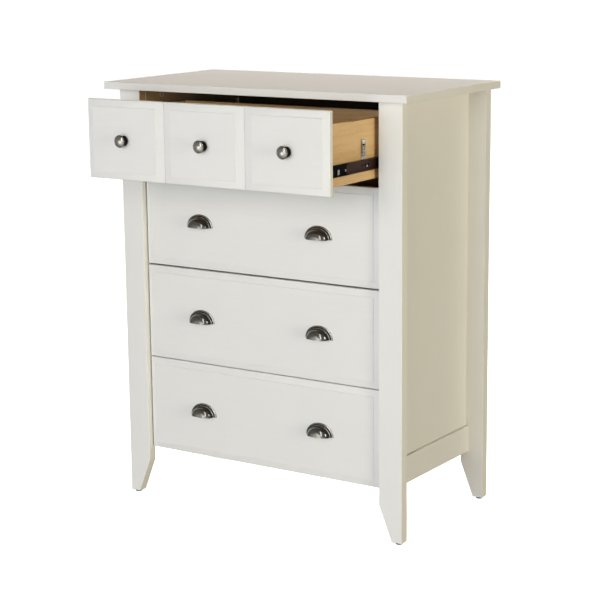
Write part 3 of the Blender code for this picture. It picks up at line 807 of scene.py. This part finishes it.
def drawer_front(node, bottom_node, columns, body):
    """Moulded front with a raised field in each of its columns."""
    low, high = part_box(node)
    back_y = high.y
    chamfer_y = back_y - BACK_CHAMFER
    edge_y = low.y + FRONT_PROFILE[0][1] * MM
    width = high.x - low.x
    lines = [low.x + width * i / columns for i in range(columns + 1)]
    shape = bmesh.new()
    known = {}

    def vert(x, y, z):
        """The vertex at a place, shared with the faces already there."""
        key = (round(x, 7), round(y, 7), round(z, 7))
        if key not in known:
            known[key] = shape.verts.new((x, y, z))
        return known[key]

    # edge z, z behind the chamfer, winding
    long_edges = ((low.z, low.z + BACK_CHAMFER, -1),
                  (high.z, high.z - BACK_CHAMFER, 1))
    for column in range(columns):
        left_x, right_x = lines[column], lines[column + 1]
        left_stretch = (FIELD_INSET if column == 0 else DIVIDER_INSET) / FIELD_INSET
        right_stretch = (FIELD_INSET if column == columns - 1
                         else DIVIDER_INSET) / FIELD_INSET
        rings = []
        for inset, drop in FRONT_PROFILE:
            stretched = inset > EDGE_ROUND
            left = left_x + inset * MM * (left_stretch if stretched else 1.0)
            right = right_x - inset * MM * (right_stretch if stretched else 1.0)
            bottom, top = low.z + inset * MM, high.z - inset * MM
            y = low.y + drop * MM
            rings.append([vert(left, y, bottom), vert(right, y, bottom),
                          vert(right, y, top), vert(left, y, top)])
        for ring, following in zip(rings, rings[1:]):
            for i in range(4):
                j = (i + 1) % 4
                shape.faces.new((ring[i], ring[j], following[j], following[i]))
        shape.faces.new(rings[-1])
        # bottom and top edges, then their chamfers, then the back
        for z, _, winding in long_edges:
            corners = [vert(left_x, edge_y, z), vert(right_x, edge_y, z),
                       vert(right_x, chamfer_y, z), vert(left_x, chamfer_y, z)]
            shape.faces.new(corners[::winding])
        for z, back_z, winding in long_edges:
            corners = [vert(left_x, chamfer_y, z), vert(right_x, chamfer_y, z),
                       vert(right_x, back_y, back_z), vert(left_x, back_y, back_z)]
            shape.faces.new(corners[::winding])
        bottom, top = long_edges[0][1], long_edges[1][1]
        shape.faces.new([vert(left_x, back_y, bottom), vert(left_x, back_y, top),
                         vert(right_x, back_y, top), vert(right_x, back_y, bottom)])
    for x in (lines[0], lines[-1]):
        shape.faces.new([
            vert(x, edge_y, low.z), vert(x, chamfer_y, low.z),
            vert(x, back_y, low.z + BACK_CHAMFER),
            vert(x, back_y, high.z - BACK_CHAMFER),
            vert(x, chamfer_y, high.z), vert(x, edge_y, high.z)])
    bmesh.ops.remove_doubles(shape, verts=shape.verts, dist=1e-7)
    bmesh.ops.recalc_face_normals(shape, faces=shape.faces)
    # the groove that holds the drawer bottom
    bottom_low, bottom_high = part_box(bottom_node)
    groove = block([value - GROOVE_PLAY for value in bottom_low],
                   (bottom_high.x + GROOVE_PLAY, back_y + GROOVE_OVERCUT,
                    bottom_high.z + GROOVE_PLAY))
    add_shape(node + "_moulded", carve(shape, [groove]), ["white_x"], body,
              "white_finish", replaces=node, angle=24)


# =====================================================================
# knobs
# =====================================================================
KNOB_BALL = 24.0 * MM     # radius of the domed face
KNOB_BASE = 12.5 * MM     # radius of the base flange
KNOB_SEAT = 3.5 * MM      # height of the base flange
KNOB_FACE = 0.865         # edge of the dome as a share of the knob's radius
KNOB_STEPS = 14
# share of the knob's radius, mm below the edge of the dome: bead and rim
KNOB_RIM = ((0.875, 0.42), (0.888, 0.46), (0.905, 0.32), (0.93, 0.36),
            (0.962, 0.72), (0.988, 1.35), (1.0, 2.10), (0.992, 2.95),
            (0.965, 3.70), (0.91, 4.45))
# share of the knob's radius, mm below the top of the dome
KNOB_COVE = ((0.80, 9.2), (0.66, 10.1), (0.53, 11.1), (0.445, 12.3),
             (0.40, 13.7), (0.39, 15.0))
# share of the knob's radius, mm above the seat
KNOB_WAIST = ((0.405, 3.4), (0.45, 1.7), (0.52, 0.75), (0.60, 0.32))
# share of the base radius, mm above the seat
KNOB_FLANGE = ((0.84, 0.05), (0.91, -0.05), (0.965, -0.45), (0.992, -1.0),
               (1.0, -1.6))


def knob_profile(radius, height):
    """Mushroom knob, face up: dome, bead, rim, cove, waist, base flange."""
    edge = math.asin(radius * KNOB_FACE / KNOB_BALL)
    face = [(KNOB_BALL * math.sin(edge * i / KNOB_STEPS),
             height - KNOB_BALL * (1 - math.cos(edge * i / KNOB_STEPS)))
            for i in range(KNOB_STEPS + 1)]
    face_edge = face[-1][1]
    return (face
            + [(radius * share, face_edge - drop * MM) for share, drop in KNOB_RIM]
            + [(radius * share, height - drop * MM) for share, drop in KNOB_COVE]
            + [(radius * share, KNOB_SEAT + rise * MM) for share, rise in KNOB_WAIST]
            + [(KNOB_BASE * share, KNOB_SEAT + rise * MM)
               for share, rise in KNOB_FLANGE]
            + [(KNOB_BASE, 0.35 * MM), (KNOB_BASE * 0.985, 0.0), (0.0, 0.0)])


def knob(node, body):
    low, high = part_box(node)
    x, _, z = middle(low, high)
    radius, height = (high.x - low.x) / 2, high.y - low.y
    seat = Vector((x, high.y, z))
    shape = lathe(knob_profile(radius, height), 64,
                  Matrix.Translation(seat) @ Matrix.Rotation(QUARTER, 4, "X"))

    def is_knob_painted_shade(face, centre):
        """Painted shade: near-black nickel in the groove, round the outer edge, and
        from the cove back.
        """
        reach = math.hypot(centre.x - seat.x, centre.z - seat.z)
        rise = high.y - centre.y
        in_groove = (rise > height - 5.5 * MM
                     and radius * 0.868 < reach < radius * 0.90)
        return in_groove or reach > radius * 0.955 or rise < height - 7.6 * MM

    paint(shape, is_knob_painted_shade)
    add_shape(node + "_turned", shape, ["nickel", "painted_shade_nickel"], body, "satin_nickel",
              replaces=node, angle=50, weighted=False)


# =====================================================================
# cup pulls; local frame: x across, z up from the lower rim, y = 0 at the back
# =====================================================================
CUP_FLANGE = 3.8 * MM     # width of the flange round the hood
CUP_WALL = 1.5 * MM
CUP_TAB = 0.8 * MM        # drop of the flange ends below the rim
CUP_STEPS = 56            # steps round the half-oval
DOME_FOOT = 5.2 * MM      # depth where the dome starts
DOME_EDGE = 0.88          # ring share where the dome starts
# ring share (1 at the flange, 0 at the middle), depth in mm: cove and bead
CUP_COVE = ((1.0, 0.8), (0.992, 1.4), (0.981, 1.9), (0.968, 2.3), (0.955, 2.7),
            (0.941, 3.3), (0.932, 3.9), (0.927, 4.7), (0.920, 5.5), (0.910, 6.0),
            (0.898, 6.1), (0.889, 5.7), (0.884, 5.3), (0.8795, 6.0))
# mm in from the outer edge, mm in front of the back
FLANGE_SECTION = ((0.0, 0.0), (0.0, 0.30), (0.18, 0.62), (0.6, 1.02), (1.3, 1.48),
                  (2.2, 1.92), (3.1, 2.20), (3.8, 2.30), (4.6, 2.22), (5.2, 1.6),
                  (5.2, 0.0))


def cup_hood(width, height, depth):
    """Hood of a cup pull: a wide cove, a fine bead, then a steep dome.

    Rings shrink from the flange to the middle of the lower lip; each is a
    half-oval turned from right to left.
    """
    half_width, rise = width / 2 - CUP_FLANGE, height - CUP_FLANGE

    def dome(share):
        bulge = math.sqrt(max(1 - (share / DOME_EDGE) ** 3.2, 0.0))
        return (share, DOME_FOOT + (depth - DOME_FOOT) * bulge)

    profile = [(share, out * MM) for share, out in CUP_COVE] + [dome(0.876)]
    profile += [dome(DOME_EDGE * k / 32) for k in (31, 30, 29)]
    profile += [dome(DOME_EDGE * k / 16) for k in range(14, 0, -1)]
    shape = bmesh.new()

    def point(share, out, angle, inset):
        pull_in = inset * min(1.0, share * 4)
        x = (half_width * share - pull_in) * math.cos(angle)
        z = (rise * share - pull_in) * math.sin(angle)
        tilt = 1 - 0.05 * max(z, 0.0) / rise
        return (x, -max(out * tilt - inset, 0.0), max(z, 0.0))

    def skin(inset):
        rings = [[shape.verts.new(point(share, out, math.pi * i / CUP_STEPS, inset))
                  for i in range(CUP_STEPS + 1)] for share, out in profile]
        return rings, shape.verts.new((0.0, -(depth - inset), 0.0))

    def lip(rings, pole):
        """The lower edge of a skin from right to left."""
        return ([ring[0] for ring in rings] + [pole]
                + [ring[CUP_STEPS] for ring in reversed(rings)])

    outer = skin(0.0)
    inner = skin(CUP_WALL)
    for (rings, pole), is_inner in ((outer, False), (inner, True)):
        winding = -1 if is_inner else 1
        for (share, _), ring, following in zip(profile, rings, rings[1:]):
            # bright nickel on the bead; painted shade with near-black nickel inside, in
            # the cove and round the dome's foot; the rest of the dome takes the
            # half-bright nickel, also painted shade
            is_bead = 0.888 < share < 0.93 and not is_inner
            for i in range(CUP_STEPS):
                corners = (ring[i], ring[i + 1], following[i + 1], following[i])
                face = shape.faces.new(corners[::winding])
                face.material_index = 2 if is_bead else int(is_inner or share > 0.80)
        last = rings[-1]
        for i in range(CUP_STEPS):
            shape.faces.new((last[i], last[i + 1], pole)[::winding])
    # back edge, then the lower lip
    outer_back, inner_back = outer[0][0], inner[0][0]
    for i in range(CUP_STEPS):
        shape.faces.new((outer_back[i + 1], outer_back[i],
                         inner_back[i], inner_back[i + 1]))
    outer_lip, inner_lip = lip(*outer), lip(*inner)
    for k in range(len(outer_lip) - 1):
        shape.faces.new((outer_lip[k], outer_lip[k + 1],
                         inner_lip[k + 1], inner_lip[k]))
    bmesh.ops.remove_doubles(shape, verts=shape.verts, dist=1e-7)
    bmesh.ops.dissolve_degenerate(shape, edges=shape.edges, dist=1e-7)
    bmesh.ops.recalc_face_normals(shape, faces=shape.faces)
    return shape


def cup_flange(width, height):
    """Half-oval flange, sloping outwards, ends dropping to small tabs."""
    shape = bmesh.new()

    def ring(x, z, normal_x, normal_z):
        return [shape.verts.new((x - normal_x * inset * MM, -out * MM,
                                 z - normal_z * inset * MM))
                for inset, out in FLANGE_SECTION]

    half_width = width / 2
    rings = [ring(half_width, -CUP_TAB, 1, 0)]
    for i in range(CUP_STEPS + 1):
        angle = math.pi * i / CUP_STEPS
        normal_x, normal_z = math.cos(angle) / half_width, math.sin(angle) / height
        length = math.hypot(normal_x, normal_z)
        rings.append(ring(half_width * math.cos(angle), height * math.sin(angle),
                          normal_x / length, normal_z / length))
    rings.append(ring(-half_width, -CUP_TAB, -1, 0))
    count = len(FLANGE_SECTION)
    for this, following in zip(rings, rings[1:]):
        for j in range(count):
            k = (j + 1) % count
            face = shape.faces.new((this[j], following[j], following[k], this[k]))
            # painted shade with near-black nickel from the crest of the section
            # inwards, and on the back
            face.material_index = 1 if j >= 6 else 0
    shape.faces.new(rings[0])
    shape.faces.new(rings[-1][::-1])
    bmesh.ops.recalc_face_normals(shape, faces=shape.faces)
    return shape


def cup(node, body):
    low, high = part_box(node)
    width, height, depth = high.x - low.x, high.z - low.z - CUP_TAB, high.y - low.y
    place = Matrix.Translation(((low.x + high.x) / 2, high.y, low.z + CUP_TAB))
    hood = cup_hood(width, height, depth)
    hood.transform(place)
    add_shape(node + "_hood", hood, ["nickel_dimmed_painted_shade", "painted_shade_nickel", "nickel"], body,
              "satin_nickel", replaces=node, angle=50, weighted=False)
    flange = cup_flange(width, height)
    flange.transform(place)
    add_shape(node + "_flange", flange, ["nickel", "painted_shade_nickel"], body, "satin_nickel",
              angle=45, weighted=False)


# =====================================================================
# drawers
# =====================================================================
CUP_SCREW_REACH = 32 * MM    # cup screw from the middle of the pull
CUP_SCREW_RISE = 9 * MM      # cup screw above the foot of the pull


def drawer_side(node, bottom_node, side, body):
    """Side board, grooved on its inner face for the drawer bottom."""
    low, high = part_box(node)
    bottom_low, bottom_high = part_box(bottom_node)
    inner_x = low.x if side > 0 else high.x
    groove_x = sorted((side * (-bottom_low.x + GROOVE_PLAY),
                       inner_x - side * GROOVE_OVERCUT))
    groove = block((groove_x[0], low.y - 1 * MM, bottom_low.z - GROOVE_PLAY),
                   (groove_x[1], high.y + 1 * MM, bottom_high.z + GROOVE_PLAY))
    shape = carve(block(low, high, 0.7 * MM), [groove])
    add_shape(node + "_skin", shape, ["maple_y"], body, "drawer_board",
              replaces=node)


def drawer(number):
    """The top drawer has three columns and knobs, the others cup pulls."""
    body = "drawer%d" % number
    tag = body + "_"
    drawer_front(tag + "front", tag + "bottom", 3 if number == 1 else 1, body)
    for word, side in SIDES:
        drawer_side(tag + "side_" + word, tag + "bottom", side, body)
        drawer_member(tag + "slide_" + word, side, body)
        cabinet_member("cabinet_slide%d_%s" % (number, word), side)
    board(tag + "back", "maple_x", body, "drawer_board", 0.7 * MM)
    board(tag + "bottom", "hardboard", body, "hardboard", 0.3 * MM)
    # screws for the handles, heads on the back of the front
    seat_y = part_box(tag + "front")[1].y
    if number == 1:
        for word in ("left", "centre", "right"):
            node = tag + "knob_" + word
            knob(node, body)
            x, _, z = middle(*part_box(node))
            screw(tag + "knob_screw_" + word, (x, seat_y, z), (0, 1, 0), body)
    else:
        for word, _ in SIDES:
            node = tag + "pull_" + word
            cup(node, body)
            low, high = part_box(node)
            for k, shift in ((1, -CUP_SCREW_REACH), (2, CUP_SCREW_REACH)):
                seat = ((low.x + high.x) / 2 + shift, seat_y, low.z + CUP_SCREW_RISE)
                screw("%s_screw_%d" % (node, k), seat, (0, 1, 0), body)


for number in (1, 2, 3, 4):
    drawer(number)


# =====================================================================
# upright zinc pins on the sides of the top drawer
# =====================================================================
PIN_TOP_Z = 993.0 * MM
PIN_SETBACK = 156.5 * MM     # from the face of the drawer front
PIN_OFFSET = 6.0 * MM        # from the drawer side to the pin's axis
PIN_RADIUS = 4.9 * MM        # over the ribs
PIN_CORE = PIN_RADIUS - 1.1 * MM
RIB_PITCH = 3.4 * MM
TAIL_HALF_WIDTH = 4.4 * MM
# radius, distance below the top, both in mm: domed head, neck, collar
PIN_HEAD = ((0.0, 0.0), (2.0, 0.1), (3.7, 0.9), (4.9, 2.4), (5.4, 4.6), (5.4, 8.6),
            (5.0, 10.4), (3.4, 11.2), (2.8, 12.0), (2.8, 14.4), (4.4, 15.0),
            (5.2, 15.6), (5.2, 16.6))


def pin_profile(length):
    """Head and collar, then a ribbed barrel, top to bottom."""
    profile = [(radius * MM, length - drop * MM) for radius, drop in PIN_HEAD]
    z = length - 17.0 * MM
    while z > 4.0 * MM:
        profile += [(PIN_CORE, z), (PIN_CORE, z - 1.0 * MM),
                    (PIN_RADIUS, z - 1.5 * MM), (PIN_RADIUS, z - 2.9 * MM)]
        z -= RIB_PITCH
    return profile + [(PIN_RADIUS - 0.5 * MM, 0.7 * MM), (PIN_CORE, 0.0), (0.0, 0.0)]


def pin(word, side):
    side_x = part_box("drawer1_side_right")[1].x
    slide_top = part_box("drawer1_slide_right")[1].z
    foot_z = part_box("cabinet_slide1_right")[1].z + 0.6 * MM
    x = side * (side_x + PIN_OFFSET)
    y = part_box("drawer1_front")[0].y + PIN_SETBACK
    shape = lathe(pin_profile(PIN_TOP_Z - foot_z), 40,
                  Matrix.Translation((x, y, foot_z)))
    # painted shade: near-black nickel in the grooves
    paint(shape, lambda face, centre: (
        math.hypot(centre.x - x, centre.y - y) < 4.5 * MM
        and abs(face.normal.z) < 0.9
        and foot_z + 2 * MM < centre.z < PIN_TOP_Z - 3 * MM))
    add_shape("drawer1_pin_" + word, shape, ["zinc", "painted_shade_nickel"], "drawer1",
              "slide_steel", angle=40, weighted=False)
    # flat tail that holds the pin to the drawer side, clear of the slide
    tail_x = sorted((side * (side_x + 0.15 * MM), side * (side_x + 1.75 * MM)))
    tail = block((tail_x[0], y - TAIL_HALF_WIDTH, slide_top + 0.4 * MM),
                 (tail_x[1], y + TAIL_HALF_WIDTH, foot_z + 9.0 * MM), 0.4 * MM)
    add_shape("drawer1_pin_tail_" + word, tail, ["zinc"], "drawer1", "slide_steel")


for word, side in SIDES:
    pin(word, side)


# =====================================================================
# studio
# =====================================================================
CAMERA_PLACE = (2.4328, -3.4912 + LEG_FRONT_Y, 1.4490)
CAMERA_ANGLES = (33.414, 11.7265, -0.5923)   # yaw, pitch down, roll; degrees
LAMP_AIM = Vector((0.0, 0.0, 0.55))

# Rectangular lights on a dome round the aim: name, azimuth and elevation in
# degrees, distance, (width, height), strength, mirrored.  Azimuth turns from
# straight in front towards the right.  Strength is the RGB brightness given
# to a white card that faces the light.  Mirrored cards show only in
# reflections; the others light matt surfaces and have no reflection.
LAMPS = (
    ("key", 2, 4, 6.0, (1.6, 2.4), (0.252, 0.317, 0.368), False),
    ("low_fill", 0, -25, 2.5, (1.2, 0.6), (0.052, 0.050, 0.047), False),
    ("key_left", -10, 18, 6.0, (2.0, 2.0), (0.180, 0.148, 0.130), False),
    ("key_right", 20, 18, 6.0, (2.0, 2.0), (0.156, 0.148, 0.138), False),
    ("right", 74, 4, 6.0, (1.2, 2.6), (0.466, 0.437, 0.317), False),
    ("left", -75, 0, 6.0, (2.0, 2.0), (0.04, 0.036, 0.03), False),
    ("back_top", 180, 40, 6.0, (2.0, 2.0), (1.13, 1.04, 0.94), False),
    ("front_card", -14, -5, 6.0, (2.6, 2.4), (0.085, 0.083, 0.079), True),
    ("strip_card", 8, 26, 6.0, (0.9, 5.6), (0.17, 0.17, 0.165), True),
    ("right_card", 70, 22, 6.0, (2.0, 2.2), (0.19, 0.185, 0.17), True),
)


def camera():
    data = bpy.data.cameras.new("camera")
    data.sensor_fit = "AUTO"
    data.sensor_width = 36.0
    data.lens = 104.64
    data.clip_start, data.clip_end = 0.1, 200
    obj = link_object("camera", data)
    yaw, pitch, roll = (math.radians(angle) for angle in CAMERA_ANGLES)
    forward = Vector((-math.sin(yaw) * math.cos(pitch),
                      math.cos(yaw) * math.cos(pitch), -math.sin(pitch)))
    level = Vector((math.cos(yaw), math.sin(yaw), 0.0))
    upright = level.cross(forward)
    right = math.cos(roll) * level + math.sin(roll) * upright
    up = -math.sin(roll) * level + math.cos(roll) * upright
    turn = Matrix((right, up, -forward)).transposed().to_4x4()
    obj.matrix_world = Matrix.Translation(CAMERA_PLACE) @ turn
    SCENE.camera = obj


def world():
    """White to the camera; a dim room to the chest.

    Matt surfaces meet a soft even glow, stronger from the pale floor.  Polished
    ones see a dark ceiling, a grey wall and, in front, the lit floor.
    """
    studio = bpy.data.worlds.new("studio")
    SCENE.world = studio
    graph = Graph(studio)
    source = graph.add("TexCoord")
    split = graph.add("SeparateXYZ")
    graph.link(source.outputs["Generated"], split.inputs[0])
    _, y, z = split.outputs
    down = graph.fade(z, span=(-0.12, 0.02), to=(1.0, 0.0))
    room_glow, floor_glow = (0.074, 0.079, 0.084), (0.298, 0.254, 0.232)
    matt = graph.mix(down, room_glow, floor_glow)
    # what polished metal sees
    ahead = graph.fade(y, span=(-0.85, -0.55), to=(1.0, 0.0))
    low_wall, high_wall = (0.27, 0.26, 0.24), (0.17, 0.16, 0.15)
    climb = graph.fade(z, span=(0.0, 0.7), to=(0.0, 1.0))
    wall = graph.mix(climb, low_wall, high_wall)
    ceiling = graph.fade(z, span=(0.80, 0.93), to=(0.0, 1.0))
    ceiling_dark = (0.02, 0.019, 0.018)
    upper = graph.mix(ceiling, wall, ceiling_dark)
    dim_floor, lit_floor = (0.24, 0.23, 0.21), (0.80, 0.79, 0.75)
    ground = graph.mix(ahead, dim_floor, lit_floor)
    polished = graph.mix(down, upper, ground)
    path = graph.add("LightPath")
    seen = graph.mix(path.outputs["Is Glossy Ray"], matt, polished)

    room = graph.add("Background")
    graph.feed(room.inputs["Color"], seen)
    white = graph.add("Background")
    graph.feed(white.inputs["Color"], (1, 1, 1))
    both = graph.add("MixShader")
    graph.link(path.outputs["Is Camera Ray"], both.inputs[0])
    graph.link(room.outputs[0], both.inputs[1])
    graph.link(white.outputs[0], both.inputs[2])
    output = graph.add("OutputWorld")
    graph.link(both.outputs[0], output.inputs[0])


def floor_material():
    """Pale, with a glow that rises to white away from the chest."""
    material = bpy.data.materials.new("pale_floor")
    graph = Graph(material)
    output = graph.add("OutputMaterial")
    diffuse = graph.add("BsdfDiffuse")
    graph.feed(diffuse.inputs["Color"], (0.80, 0.80, 0.79))
    glow = graph.add("Emission")
    source = graph.add("TexCoord")
    distance = graph.add("VectorMath", operation="LENGTH")
    graph.link(source.outputs["Object"], distance.inputs[0])
    rise = graph.fade(distance.outputs["Value"], span=(0.35, 1.1), to=(0.93, 1.0))
    graph.link(rise, glow.inputs["Strength"])
    both = graph.add("AddShader")
    graph.link(diffuse.outputs[0], both.inputs[0])
    graph.link(glow.outputs[0], both.inputs[1])
    graph.link(both.outputs[0], output.inputs[0])
    return material


def floor():
    """Pale floor that fades into the background and leaves the chest unlit."""
    shape = bmesh.new()
    bmesh.ops.create_grid(shape, x_segments=1, y_segments=1, size=60.0)
    mesh = to_mesh("floor", shape)
    obj = link_object("floor", mesh)
    mesh.materials.append(floor_material())
    obj.visible_diffuse = False
    obj.visible_glossy = False
    obj.visible_shadow = False
    obj.visible_transmission = False


def softbox(name, azimuth, elevation, distance, size, strength, mirrored):
    turn, lift = math.radians(azimuth), math.radians(elevation)
    place = LAMP_AIM + distance * Vector((math.sin(turn) * math.cos(lift),
                                          -math.cos(turn) * math.cos(lift),
                                          math.sin(lift)))
    peak = max(strength)
    lamp = bpy.data.lights.new(name, "AREA")
    lamp.shape = "RECTANGLE"
    lamp.size, lamp.size_y = size
    lamp.energy = peak * math.pi ** 2 * distance ** 2
    lamp.color = tuple(value / peak for value in strength)
    obj = link_object(name, lamp)
    obj.location = place
    obj.rotation_euler = (LAMP_AIM - place).to_track_quat("-Z", "Y").to_euler()
    obj.visible_glossy = mirrored
    obj.visible_diffuse = not mirrored


camera()
world()
floor()
SCENE.view_settings.view_transform = "Standard"
SCENE.view_settings.look = "None"
for lamp_row in LAMPS:
    softbox(*lamp_row)
